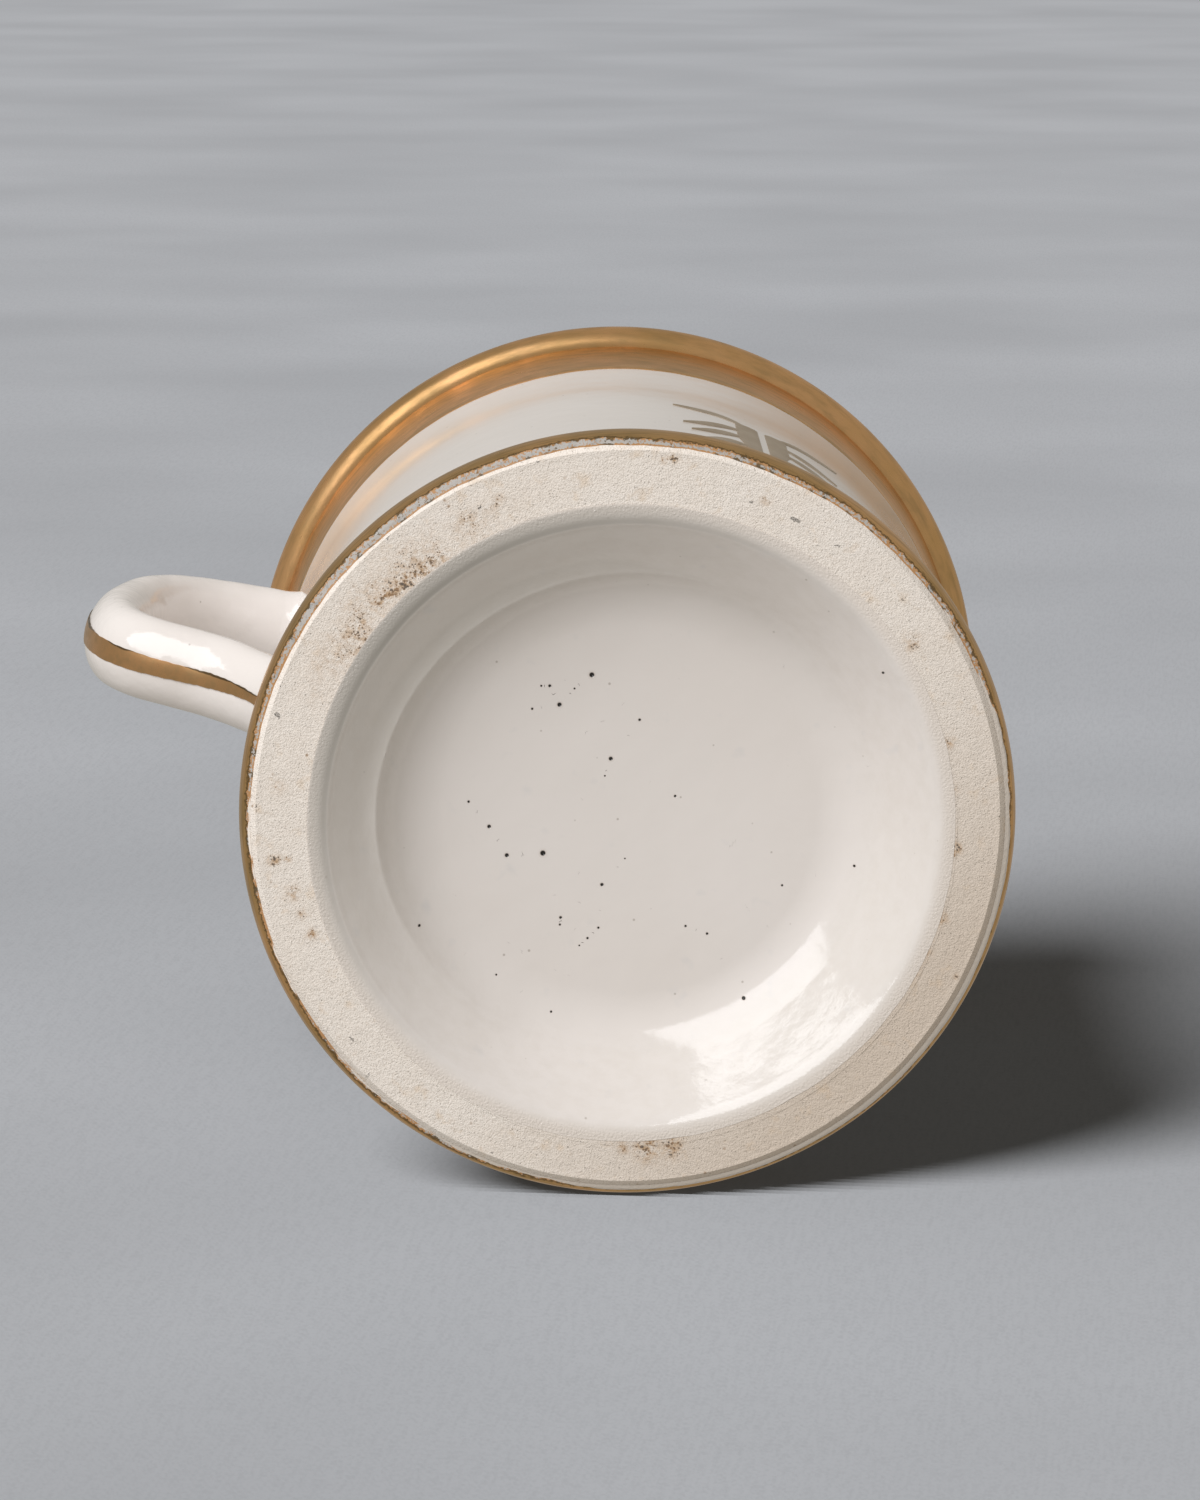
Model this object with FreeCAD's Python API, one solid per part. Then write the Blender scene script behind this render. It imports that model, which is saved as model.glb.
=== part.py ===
import FreeCAD, Part
import math
import os

# Handled porcelain jug in the straight-sided mug form, standing upright.
# Millimetres, +Z up, origin at the centre of the foot's resting plane, handle towards -X.

# Body
height = 89.6
wall_radius = 39.6          # outside of the straight wall
wall_thickness = 3.1
floor_thickness = 4.0
floor_cove = 7.0            # radius inside, between wall and floor
foot_overhang = 2.1         # how far the foot roll stands out from the wall
foot_roll = 3.55            # radius of the foot's rounded edge
foot_crest = 2.9            # height of the foot's widest circle
foot_join = 30.0            # degrees above the crest where the roll turns into the cove
lip_overhang = 3.7          # how far the lip roll stands out from the wall
lip_roll = 1.9              # radius of the rolled lip
flare_length = 31.6         # from the lip's top down to where the wall starts to open
flare_growth = 1.55         # how far the wall has opened where it meets the lip roll

# Recess under the base, turned slightly off the wheel's centre
ring_width = 6.8            # from the foot's widest circle in to the recess
recess_offset = FreeCAD.Vector(0.5, 0.6, 0)
recess_shoulder = 3.0
recess_slope = 46.0         # degrees, wall of the recess against the resting plane
recess_wall_run = 7.3       # from the ring in to where the sloping wall meets the cove
recess_cove = 10.0

# Handle: an oval strap bent to an ear-shaped loop
# The bends of its middle line: how far each stands out from the wall, and its height
handle_drop = 20.0          # from the lip's top down to the upper end
shoulder_inset = 7.6        # in from the widest place
shoulder_drop = 3.7         # below the upper end
handle_reach = 19.9         # at the widest place
handle_widest_z = 45.0
elbow_inset = 4.0
elbow_z = 33.0
waist_reach = 8.4
waist_z = 30.4
handle_lower_z = 21.8
strap_upper_half_width = 4.8
strap_lower_half_width = 4.3
strap_half_depth = 3.2
handle_root = 2.0           # how far the strap's path starts inside the wall
slip_reach = 2.2            # how far the slip collars climb along the strap
slip_spread = 1.2           # how far they stand out round it at the wall

# Coats
glaze = 0.25
gilding = 0.15
bisque_edge = -44.0         # degrees on the foot roll where the outer glaze stops
recess_edge = -100.0        # degrees on the recess's shoulder where its glaze starts
rim_band_depth = 16.3       # from the lip's top down to the gilt band's lower edge
rim_band_end = 150.0        # degrees round the lip roll, inside the mouth
foot_band_end = 8.2
stripe_upper_half_width = 1.05
stripe_lower_half_width = 0.45

# Gilt ornament on the wall, a formal sprig
ornament_azimuth = -79.6
stem_base_z = 14.0
stem_top_z = 42.0
stem_gap = 0.9
stem_width = 2.7
stem_foot_width = 0.8
stem_bevel = 0.8            # how much lower the stem's inner top corner is
stem_taper_z = 30.0         # below this the stem narrows
leaf_width = 2.4
leaf_arch = 1.4             # how far a leaf's middle rises above the middle of root and tip
# Pairs of leaves: height of the root, rise to the tip, reach from the stem
leaf_rows = ((40.8, 5.0, 8.4), (35.2, -3.4, 7.6), (29.6, -3.2, 6.8), (23.4, -2.4, 5.4))

up = FreeCAD.Vector(0, 0, 1)
origin = FreeCAD.Vector(0, 0, 0)


def polar(centre, radius, degrees):
    angle = math.radians(degrees)
    return (centre[0] + radius * math.cos(angle), centre[1] + radius * math.sin(angle))


def place(point):
    return FreeCAD.Vector(point[0], 0, point[1])


def arc(centre, radius, start, end):
    middle = 0.5 * (start + end)
    points = [place(polar(centre, radius, a)) for a in (start, middle, end)]
    return Part.Arc(*points).toShape()


def chain(edges, closing=()):
    """A closed wire through the edges in order, joined by straight lines where they leave a gap."""
    whole = []
    last = None
    for edge in list(edges) + list(closing):
        first = edge.firstVertex(True).Point
        if last is not None and last.distanceToPoint(first) > 1e-6:
            whole.append(Part.makeLine(last, first))
        whole.append(edge)
        last = edge.lastVertex(True).Point
    start = whole[0].firstVertex(True).Point
    if last.distanceToPoint(start) > 1e-6:
        whole.append(Part.makeLine(last, start))
    return Part.Wire(Part.__sortEdges__(whole))


def turn(wire, centre=origin):
    return Part.Face(wire).revolve(origin, up, 360).translate(centre)


def line(start, end):
    return Part.makeLine(place(start), place(end))


# Sizes that follow, and the centres of the profile's arcs, each tangent to its neighbours

foot_radius = wall_radius + foot_overhang
lip_radius = wall_radius + lip_overhang
bore_radius = wall_radius - wall_thickness
ring_inner_radius = foot_radius - ring_width
recess_floor_edge = ring_inner_radius - recess_wall_run
flare_start = height - flare_length
handle_upper_z = height - handle_drop
rim_band_start = height - rim_band_depth

foot_centre = (foot_radius - foot_roll, foot_crest)
join_cos = math.cos(math.radians(foot_join))
foot_cove = (foot_centre[0] + foot_roll * join_cos - wall_radius) / (1 - join_cos)
foot_cove_centre = polar(foot_centre, foot_roll + foot_cove, foot_join)
flare_rise = flare_length - 2 * lip_roll
flare_radius = (flare_rise ** 2 + flare_growth ** 2) / (2 * flare_growth)
flare_centre = (wall_radius + flare_radius, flare_start)
lip_centre = (lip_radius - lip_roll, height - lip_roll)
lip_over_bore = lip_centre[0] - bore_radius
lip_over_flare = lip_centre[1] - flare_start
inner_flare_radius = ((lip_over_bore ** 2 + lip_over_flare ** 2 - lip_roll ** 2)
                      / (2 * (lip_over_bore - lip_roll)))
inner_flare_centre = (bore_radius + inner_flare_radius, flare_start)
lip_inner_angle = math.degrees(math.atan2(lip_centre[1] - inner_flare_centre[1],
                                          lip_centre[0] - inner_flare_centre[0]))

slope = math.radians(recess_slope)
shoulder_centre = (ring_inner_radius, recess_shoulder)
shoulder_end = polar(shoulder_centre, recess_shoulder, -90 - recess_slope)
crease_z = shoulder_end[1] + (shoulder_end[0] - recess_floor_edge) * math.tan(slope)
recess_cove_centre = (recess_floor_edge - recess_cove * math.sin(slope),
                      crease_z - recess_cove * math.cos(slope))
recess_depth = recess_cove_centre[1] + recess_cove
floor_top = recess_depth + floor_thickness


def crossing(coat):
    """Angles, on the flare and on the lip roll, where the two meet under a coat of this thickness."""
    flare = flare_radius - coat
    roll = lip_roll + coat
    across = math.dist(flare_centre, lip_centre)
    towards = math.degrees(math.atan2(lip_centre[1] - flare_centre[1], lip_centre[0] - flare_centre[0]))
    opening = math.degrees(math.acos((flare ** 2 + across ** 2 - roll ** 2) / (2 * flare * across)))
    meeting = polar(flare_centre, flare, towards + opening)
    on_roll = math.degrees(math.atan2(meeting[1] - lip_centre[1], meeting[0] - lip_centre[0]))
    return towards + opening, on_roll


def flare_angle(z, coat):
    return 180 - math.degrees(math.asin((z - flare_start) / (flare_radius - coat)))


def outside(coat, start):
    """The outer line from the angle start on the foot roll, up the wall to the top of the lip roll."""
    on_flare, on_roll = crossing(coat)
    wall = wall_radius + coat
    return [
        arc(foot_centre, foot_roll + coat, start, foot_join),
        arc(foot_cove_centre, foot_cove - coat, 180 + foot_join, 180),
        line((wall, foot_cove_centre[1]), (wall, flare_start)),
        arc(flare_centre, flare_radius - coat, 180, on_flare),
        arc(lip_centre, lip_roll + coat, on_roll, 90),
    ]


def inside(coat):
    """The inner line from the top of the lip roll, down the wall and across the floor."""
    wall = bore_radius - coat
    bottom = floor_top + coat
    cove_centre = (bore_radius - floor_cove, floor_top + floor_cove)
    return [
        arc(lip_centre, lip_roll + coat, 90, lip_inner_angle),
        arc(inner_flare_centre, inner_flare_radius + coat, lip_inner_angle, 180),
        line((wall, flare_start), (wall, cove_centre[1])),
        arc(cove_centre, floor_cove - coat, 0, -90),
        line((cove_centre[0], bottom), (0, bottom)),
    ]


def recess(coat, start=-90.0):
    """The line of the recess from its shoulder at the angle start to the middle of its floor."""
    reach = recess_shoulder + coat
    cove = recess_cove - coat
    side = -90 - recess_slope
    return [
        arc(shoulder_centre, reach, start, side),
        line(polar(shoulder_centre, reach, side), polar(recess_cove_centre, cove, 90 - recess_slope)),
        arc(recess_cove_centre, cove, 90 - recess_slope, 90),
        line(polar(recess_cove_centre, cove, 90), (0, recess_depth - coat)),
    ]


def backwards(edges):
    """The same edges walked the other way, each rebuilt so that its start and end swap."""
    swapped = []
    for edge in reversed(edges):
        curve = edge.Curve
        first = edge.firstVertex(True).Point
        last = edge.lastVertex(True).Point
        if isinstance(curve, Part.Line):
            swapped.append(Part.makeLine(last, first))
        else:
            middle = edge.valueAt(0.5 * (edge.FirstParameter + edge.LastParameter))
            swapped.append(Part.Arc(last, middle, first).toShape())
    return swapped


def coat_between(inner_edges, outer_edges, centre=origin):
    return turn(chain(inner_edges, backwards(outer_edges)), centre)


# Turned body

def make_body():
    foot_edge = -math.degrees(math.asin(foot_crest / foot_roll))
    cup = turn(chain(outside(0, foot_edge) + inside(0), [line((0, floor_top), (0, 0))]))
    below = -1.0
    hollow = turn(chain(recess(0), [line((0, recess_depth), (0, below)),
                                    line((0, below), (ring_inner_radius, below))]), recess_offset)
    return cup.cut(hollow)


# Handle

def strap_path():
    """The middle line of the strap, from inside the wall at the top to inside it at the bottom."""
    inner = wall_radius - handle_root
    points = [
        (inner, handle_upper_z),
        (wall_radius + handle_reach - shoulder_inset, handle_upper_z - shoulder_drop),
        (wall_radius + handle_reach, handle_widest_z),
        (wall_radius + handle_reach - elbow_inset, elbow_z),
        (wall_radius + waist_reach, waist_z),
        (inner, handle_lower_z),
    ]
    curve = Part.BSplineCurve()
    curve.interpolate(Points=[FreeCAD.Vector(-r, 0, z) for r, z in points],
                      InitialTangent=FreeCAD.Vector(-1, 0, 0.05),
                      FinalTangent=FreeCAD.Vector(0.72, 0, -0.70))
    return curve


path = strap_path()


def across_path(parameter, edges):
    """A wire drawn in XY, stood across the path: X becomes the strap's width, Y the loop's inward side."""
    centre = path.value(parameter)
    along = path.tangent(parameter)[0]
    across = FreeCAD.Vector(0, 1, 0)
    inward = along.cross(across)
    matrix = FreeCAD.Matrix(across.x, inward.x, along.x, centre.x,
                            across.y, inward.y, along.y, centre.y,
                            across.z, inward.z, along.z, centre.z,
                            0, 0, 0, 1)
    wire = Part.Wire(edges)
    wire.Placement = FreeCAD.Placement(matrix)
    return wire


def half_width(parameter, upper, lower):
    """A width that changes evenly along the path from its upper to its lower end."""
    share = (parameter - path.FirstParameter) / (path.LastParameter - path.FirstParameter)
    return upper + share * (lower - upper)


def oval(parameter, grow):
    wide = half_width(parameter, strap_upper_half_width, strap_lower_half_width)
    return across_path(parameter, [Part.Ellipse(origin, wide + grow, strap_half_depth + grow).toShape()])


def stripe_section(parameter):
    """A thin band over the outer crest of the glazed oval."""
    wide = half_width(parameter, strap_upper_half_width, strap_lower_half_width)
    side = half_width(parameter, stripe_upper_half_width, stripe_lower_half_width)
    rows = []
    for grow in (glaze, glaze + gilding):
        depth = strap_half_depth + grow
        edge = depth * math.sqrt(1 - (side / (wide + grow)) ** 2)
        rows.append((FreeCAD.Vector(-side, -edge, 0), FreeCAD.Vector(0, -depth, 0),
                     FreeCAD.Vector(side, -edge, 0)))
    low, high = rows
    return across_path(parameter, [Part.Arc(*low).toShape(), Part.makeLine(low[2], high[2]),
                                   Part.Arc(*reversed(high)).toShape(), Part.makeLine(high[0], low[0])])


def sweep(section, first, last):
    """A solid along the path between two places on it, with its section set at both."""
    pipe = Part.BRepOffsetAPI.MakePipeShell(Part.Wire(path.toShape(first, last)))
    pipe.setBiNormalMode(FreeCAD.Vector(0, 1, 0))
    pipe.add(section(first))
    pipe.add(section(last))
    pipe.build()
    pipe.makeSolid()
    return pipe.shape()


def parameter_at(radius, low, high):
    """Where the path is this far from the axis, between two places on it, by halving."""
    for _ in range(50):
        middle = 0.5 * (low + high)
        if (-path.value(middle).x < radius) == (-path.value(low).x < radius):
            low = middle
        else:
            high = middle
    return 0.5 * (low + high)


def slip_collar(root, tip):
    """A tapering collar, filled to its middle, from inside the wall out along the strap."""
    return Part.makeLoft([oval(root, slip_spread), oval(tip, glaze)], True, True)


# Gilt ornament, drawn flat as (across, height) and pressed onto the wall

def blade(start, bend, tip, width):
    """A leaf of the given width at its middle, pointed at both ends."""
    def edge(side):
        middle = FreeCAD.Vector(bend[0], 0, bend[1] + side * 0.5 * width)
        curve = Part.BSplineCurve()
        curve.interpolate([place(start), middle, place(tip)])
        return curve.toShape()
    return Part.Face(Part.Wire([edge(1), edge(-1)]))


def stem(side):
    inner = side * 0.5 * stem_gap
    outer = inner + side * stem_width
    foot = inner + side * stem_foot_width
    outline = ((inner, stem_top_z - stem_bevel), (outer, stem_top_z), (outer, stem_taper_z),
               (foot, stem_base_z), (inner, stem_base_z + stem_width))
    corners = [place(point) for point in outline]
    return Part.Face(Part.makePolygon(corners + corners[:1]))


def leaves(side):
    root = side * 0.5 * (stem_gap + stem_width)
    faces = []
    for z, rise, reach in leaf_rows:
        bend = (root + side * 0.5 * reach, z + 0.5 * rise + leaf_arch)
        tip = (root + side * reach, z + rise)
        faces.append(blade((root, z), bend, tip, leaf_width))
    return faces


def make_ornament():
    flat = []
    for side in (-1, 1):
        flat.append(stem(side))
        flat.extend(leaves(side))
    out = FreeCAD.Vector(0, -(wall_radius + 5), 0)
    solids = [face.extrude(out) for face in flat]
    drawing = solids[0].multiFuse(solids[1:])
    drawing.rotate(origin, up, ornament_azimuth + 90)
    shell = turn(chain([line((wall_radius + glaze, foot_cove_centre[1]), (wall_radius + glaze, flare_start)),
                        line((wall_radius + glaze + gilding, flare_start),
                             (wall_radius + glaze + gilding, foot_cove_centre[1]))]))
    return shell.common(drawing)


# Pieces

body = make_body()
filled_body = turn(chain(outside(0, bisque_edge), [line((0, height), (0, 0))]))
upper_root = path.FirstParameter
lower_root = path.LastParameter
widest = 0.5 * (upper_root + lower_root)
collar_edge = wall_radius + glaze + slip_reach
upper_tip = parameter_at(collar_edge, upper_root, widest)
lower_tip = parameter_at(collar_edge, widest, lower_root)
core = sweep(lambda parameter: oval(parameter, 0), upper_root, lower_root)
upper_collar = slip_collar(upper_root, upper_tip)
lower_collar = slip_collar(lower_root, lower_tip)
handle_zone = core.fuse(upper_collar).fuse(lower_collar)
glazed_strap = sweep(lambda parameter: oval(parameter, glaze), upper_tip, lower_tip)

over_glaze = glaze + gilding
band_start = flare_angle(rim_band_start, glaze)
outer_band_start = flare_angle(rim_band_start, over_glaze)
flare_end, roll_start = crossing(glaze)
outer_flare_end, outer_roll_start = crossing(over_glaze)
rim_inner = [arc(flare_centre, flare_radius - glaze, band_start, flare_end),
             arc(lip_centre, lip_roll + glaze, roll_start, rim_band_end)]
rim_outer = [arc(flare_centre, flare_radius - over_glaze, outer_band_start, outer_flare_end),
             arc(lip_centre, lip_roll + over_glaze, outer_roll_start, rim_band_end)]


def foot_band(coat):
    cove = foot_cove - coat
    stop = 180 + math.degrees(math.asin((foot_cove_centre[1] - foot_band_end) / cove))
    return [arc(foot_centre, foot_roll + coat, bisque_edge, foot_join),
            arc(foot_cove_centre, cove, 180 + foot_join, stop)]


pieces = {
    "body": body,
    "handle": core.cut(filled_body),
    "upper_slip_joint": upper_collar.cut(core).cut(filled_body),
    "lower_slip_joint": lower_collar.cut(core).cut(filled_body),
    "outer_glaze": coat_between(outside(0, bisque_edge), outside(glaze, bisque_edge)).cut(handle_zone),
    "inner_glaze": coat_between(inside(0), inside(glaze)),
    "recess_glaze": coat_between(recess(0, recess_edge), recess(glaze, recess_edge), recess_offset),
    "handle_glaze": glazed_strap.cut(core),
    "gilt_rim_band": coat_between(rim_inner, rim_outer).cut(handle_zone),
    "gilt_foot_band": coat_between(foot_band(glaze), foot_band(over_glaze)),
    "gilt_handle_stripe": sweep(stripe_section, upper_tip, lower_tip),
    "gilt_ornament": make_ornament(),
}

os.makedirs("parts", exist_ok=True)
for name, shape in pieces.items():
    solids = shape.Solids
    print(name, len(solids), "valid" if shape.isValid() else "NOT VALID", round(shape.Volume, 2))
    whole = solids[0] if len(solids) == 1 else Part.makeCompound(solids)
    whole.exportStep("parts/" + name + ".step")
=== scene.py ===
import math

import bpy
import numpy as np
from mathutils import Matrix, Vector


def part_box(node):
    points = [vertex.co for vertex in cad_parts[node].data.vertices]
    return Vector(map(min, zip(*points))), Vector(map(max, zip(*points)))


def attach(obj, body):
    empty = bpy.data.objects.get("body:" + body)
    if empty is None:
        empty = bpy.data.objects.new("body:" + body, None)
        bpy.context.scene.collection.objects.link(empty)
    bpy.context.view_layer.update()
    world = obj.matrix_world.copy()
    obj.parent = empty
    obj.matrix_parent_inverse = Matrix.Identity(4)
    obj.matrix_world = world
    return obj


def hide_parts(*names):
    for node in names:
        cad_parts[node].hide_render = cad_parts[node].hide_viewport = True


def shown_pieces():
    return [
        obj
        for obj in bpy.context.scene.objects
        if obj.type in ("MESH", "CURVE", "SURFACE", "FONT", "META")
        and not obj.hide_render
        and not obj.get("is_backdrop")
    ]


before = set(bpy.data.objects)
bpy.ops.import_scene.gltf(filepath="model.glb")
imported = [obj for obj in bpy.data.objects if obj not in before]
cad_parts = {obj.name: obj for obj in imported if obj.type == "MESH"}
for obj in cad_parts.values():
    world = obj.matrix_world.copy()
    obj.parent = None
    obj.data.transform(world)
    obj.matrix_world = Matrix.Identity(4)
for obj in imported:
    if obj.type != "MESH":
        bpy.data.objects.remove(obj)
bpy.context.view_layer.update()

# Shapes are worked out in millimetres in the part's frame and written to the meshes in metres.
MM = 0.001


def node_box(node):
    low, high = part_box(node)
    return np.array(low) / MM, np.array(high) / MM


# Sizes of the turned body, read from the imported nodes, and the ones a box doesn't show

body_high = node_box("body")[1]
height = body_high[2]
lip_radius = body_high[0]
foot_radius = node_box("gilt_foot_band")[1][0] - 0.4
wall_radius = lip_radius - 3.7
wall_thickness = 3.1
floor_thickness = 4.0
floor_cove = 7.0
foot_roll = 3.55
foot_crest = 2.9
foot_join = 30.0
lip_roll = 1.9
flare_length = 31.6
flare_growth = 1.55
ring_width = 6.8
recess_centre = np.array([0.5, 0.6])
recess_shoulder = 3.0
recess_slope = 46.0
recess_wall_run = 7.3
recess_cove = 10.0
glaze = 0.25
gilding = 0.15
feather_edge = 0.02
bisque_edge = -44.0
glaze_edge = bisque_edge + 3

ring_inner = foot_radius - ring_width
recess_floor_edge = ring_inner - recess_wall_run
bore_radius = wall_radius - wall_thickness
flare_start = height - flare_length
rim_band_start = node_box("gilt_rim_band")[0][2]
foot_band_end = node_box("gilt_foot_band")[1][2]


# Profiles, as rows of (radius, height)

def polar(centre, radius, degrees):
    angle = np.radians(degrees)
    return np.stack([centre[0] + radius * np.cos(angle), centre[1] + radius * np.sin(angle)], -1)


def arc(centre, radius, start, end, step=0.35):
    count = max(3, int(abs(math.radians(end - start)) * radius / step) + 1)
    return polar(centre, radius, np.linspace(start, end, count))


def straight(start, end, step=1.0):
    start, end = np.array(start, float), np.array(end, float)
    count = max(2, int(np.linalg.norm(end - start) / step) + 1)
    return start + np.linspace(0, 1, count)[:, None] * (end - start)


def joined(*runs):
    points = np.vstack(runs)
    keep = np.r_[True, np.linalg.norm(np.diff(points, axis=0), axis=1) > 1e-4]
    return points[keep]


foot_centre = np.array([foot_radius - foot_roll, foot_crest])
join_cos = math.cos(math.radians(foot_join))
foot_cove = (foot_centre[0] + foot_roll * join_cos - wall_radius) / (1 - join_cos)
foot_cove_centre = polar(foot_centre, foot_roll + foot_cove, foot_join)
flare_rise = flare_length - 2 * lip_roll
flare_radius = (flare_rise ** 2 + flare_growth ** 2) / (2 * flare_growth)
flare_centre = np.array([wall_radius + flare_radius, flare_start])
lip_centre = np.array([lip_radius - lip_roll, height - lip_roll])
over_bore = lip_centre[0] - bore_radius
over_flare = lip_centre[1] - flare_start
inner_flare_radius = (over_bore ** 2 + over_flare ** 2 - lip_roll ** 2) / (2 * (over_bore - lip_roll))
inner_flare_centre = np.array([bore_radius + inner_flare_radius, flare_start])
lip_inner_angle = math.degrees(math.atan2(over_flare, lip_centre[0] - inner_flare_centre[0]))

shoulder_centre = np.array([ring_inner, recess_shoulder])
slope = math.radians(recess_slope)
shoulder_end = polar(shoulder_centre, recess_shoulder, -90 - recess_slope)
crease_z = shoulder_end[1] + (shoulder_end[0] - recess_floor_edge) * math.tan(slope)
recess_cove_centre = np.array([recess_floor_edge - recess_cove * math.sin(slope),
                               crease_z - recess_cove * math.cos(slope)])
recess_depth = recess_cove_centre[1] + recess_cove
floor_top = recess_depth + floor_thickness


def crossing(coat):
    """Angles, on the flare and on the lip roll, where the two meet under a coat of this thickness."""
    flare, roll = flare_radius - coat, lip_roll + coat
    across = np.linalg.norm(lip_centre - flare_centre)
    towards = math.degrees(math.atan2(*(lip_centre - flare_centre)[::-1]))
    opening = math.degrees(math.acos((flare ** 2 + across ** 2 - roll ** 2) / (2 * flare * across)))
    meeting = polar(flare_centre, flare, towards + opening)
    return towards + opening, math.degrees(math.atan2(*(meeting - lip_centre)[::-1]))


def outside(coat, start=bisque_edge, stop=90.0, step=0.35):
    on_flare, on_roll = crossing(coat)
    wall = wall_radius + coat
    return joined(
        arc(foot_centre, foot_roll + coat, start, foot_join, step),
        arc(foot_cove_centre, foot_cove - coat, 180 + foot_join, 180, step),
        straight((wall, foot_cove_centre[1]), (wall, flare_start)),
        arc(flare_centre, flare_radius - coat, 180, on_flare, 0.8),
        arc(lip_centre, lip_roll + coat, on_roll, stop, 0.6 * step),
    )


def inside(coat):
    cove_centre = (bore_radius - floor_cove, floor_top + floor_cove)
    return joined(
        arc(lip_centre, lip_roll + coat, 90, lip_inner_angle, 0.2),
        arc(inner_flare_centre, inner_flare_radius + coat, lip_inner_angle, 180, 1.0),
        straight((bore_radius - coat, flare_start), (bore_radius - coat, cove_centre[1])),
        arc(cove_centre, floor_cove - coat, 0, -90, 0.5),
        straight((cove_centre[0], floor_top + coat), (0, floor_top + coat), 1.2),
    )


def recess(coat, start=-90.0, step=0.3):
    reach, cove = recess_shoulder + coat, recess_cove - coat
    down, up = -90 - recess_slope, 90 - recess_slope
    return joined(
        arc(shoulder_centre, reach, start, down, 0.6 * step),
        straight(polar(shoulder_centre, reach, down), polar(recess_cove_centre, cove, up), step),
        arc(recess_cove_centre, cove, up, 90, step),
        straight(polar(recess_cove_centre, cove, 90), (0, recess_depth - coat), step),
    )


def smooth(share):
    share = np.clip(share, 0, 1)
    return share * share * (3 - 2 * share)


def lobe(angle, middle, width):
    """1 at the middle direction, in degrees, falling smoothly to 0 at the width on either side."""
    away = np.degrees(np.abs(np.angle(np.exp(1j * (angle - math.radians(middle))))))
    return smooth(1 - away / width)


def feathered(line, coat, over, clay_on_left):
    """The line with its coat thinned away towards its first point, over the distance given."""
    run = np.r_[0, np.cumsum(np.linalg.norm(np.diff(line, axis=0), axis=1))]
    along = np.gradient(line, axis=0)
    to_clay = np.stack([-along[:, 1], along[:, 0]], -1) / np.linalg.norm(along, axis=1)[:, None]
    if not clay_on_left:
        to_clay = -to_clay
    return line + to_clay * (1 - smooth(run / over))[:, None] * (coat - feather_edge), run


# Gentle hand-made unevenness: sums of waves, the same on every run

def ripple(angle, seed, waves, size):
    """A periodic wobble of an angle, made of the given numbers of waves per turn."""
    rng = np.random.default_rng(seed)
    total = sum(rng.normal() * np.sin(k * angle + rng.uniform(0, 2 * math.pi)) for k in waves)
    return size * total / math.sqrt(len(waves))


def cloud(points, seed, scale, size):
    """A smooth random field over space; scale is the length of its features."""
    rng = np.random.default_rng(seed)
    total = np.zeros(len(points))
    for _ in range(14):
        direction = rng.normal(size=3)
        direction *= rng.uniform(0.6, 1.4) * 2 * math.pi / (scale * np.linalg.norm(direction))
        total += np.sin(points @ direction + rng.uniform(0, 2 * math.pi))
    return size * total / math.sqrt(14)


# Meshes

def linked(name, data):
    """An object of the scene that holds the data."""
    made = bpy.data.objects.new(name, data)
    bpy.context.scene.collection.objects.link(made)
    return made


def make_piece(name, vertices, faces, material, nodes, sharp=40.0, marks=None):
    """A mesh piece that rides on the one body and stands for the CAD nodes named."""
    vertices = np.asarray(vertices, float)
    triangles = np.array([(f[0], f[i], f[i + 1]) for f in faces for i in range(1, len(f) - 1)])
    a, b, c = (vertices[triangles[:, i]] for i in range(3))
    if np.einsum("ij,ij->i", a, np.cross(b, c)).sum() < 0:
        faces = [tuple(reversed(f)) for f in faces]
    mesh = bpy.data.meshes.new(name)
    mesh.from_pydata((vertices * MM).tolist(), [], faces)
    for mark, values in (marks or {}).items():
        values = np.asarray(values, np.float32)
        if values.ndim == 1:
            mesh.attributes.new(mark, "FLOAT", "POINT").data.foreach_set("value", values)
        else:
            mesh.attributes.new(mark, "FLOAT_VECTOR", "POINT").data.foreach_set("vector", values.ravel())
    mesh.materials.append(material)
    mesh.polygons.foreach_set("use_smooth", [True] * len(mesh.polygons))
    mesh.set_sharp_from_angle(angle=math.radians(sharp))
    mesh.update()
    piece = linked(name, mesh)
    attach(piece, "root")
    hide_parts(*nodes)


def grid_faces(rows, columns, close_rows, close_columns):
    """Quads over a grid of rows by columns of vertices, closed round either way if asked."""
    faces = []
    for i in range(rows if close_rows else rows - 1):
        j = (i + 1) % rows
        for k in range(columns if close_columns else columns - 1):
            m = (k + 1) % columns
            faces.append((i * columns + k, i * columns + m, j * columns + m, j * columns + k))
    return faces


def away_from(centre, points):
    """Level distances of the points from an upright axis."""
    return np.hypot(points[:, 0] - centre[0], points[:, 1] - centre[1])


def turns(count):
    return np.linspace(0, 2 * math.pi, count, endpoint=False)


def round_axis(radius, angle, z, centre=(0.0, 0.0)):
    """Points at the distances, angles and heights given, round an upright axis."""
    return np.stack([centre[0] + radius * np.cos(angle), centre[1] + radius * np.sin(angle),
                     z + 0 * angle], -1)


def lathe_points(loop, segments, centre=(0.0, 0.0)):
    """The loop turned round the axis: an array (loop, segments, 3), with the angle of each segment."""
    angle = turns(segments)
    return round_axis(loop[:, :1], angle, loop[:, 1:], centre), angle


def capped_tube(rings, ends):
    """Vertices and faces of a tube of rings, with a fan to a point closing each end."""
    rows, columns, _ = rings.shape
    vertices = np.vstack([rings.reshape(-1, 3), *ends])
    faces = grid_faces(rows, columns, False, True)
    first, last = len(vertices) - 2, len(vertices) - 1
    start = (rows - 1) * columns
    for k in range(columns):
        m = (k + 1) % columns
        faces += [(first, m, k), (last, start + k, start + m)]
    return vertices, faces


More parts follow.
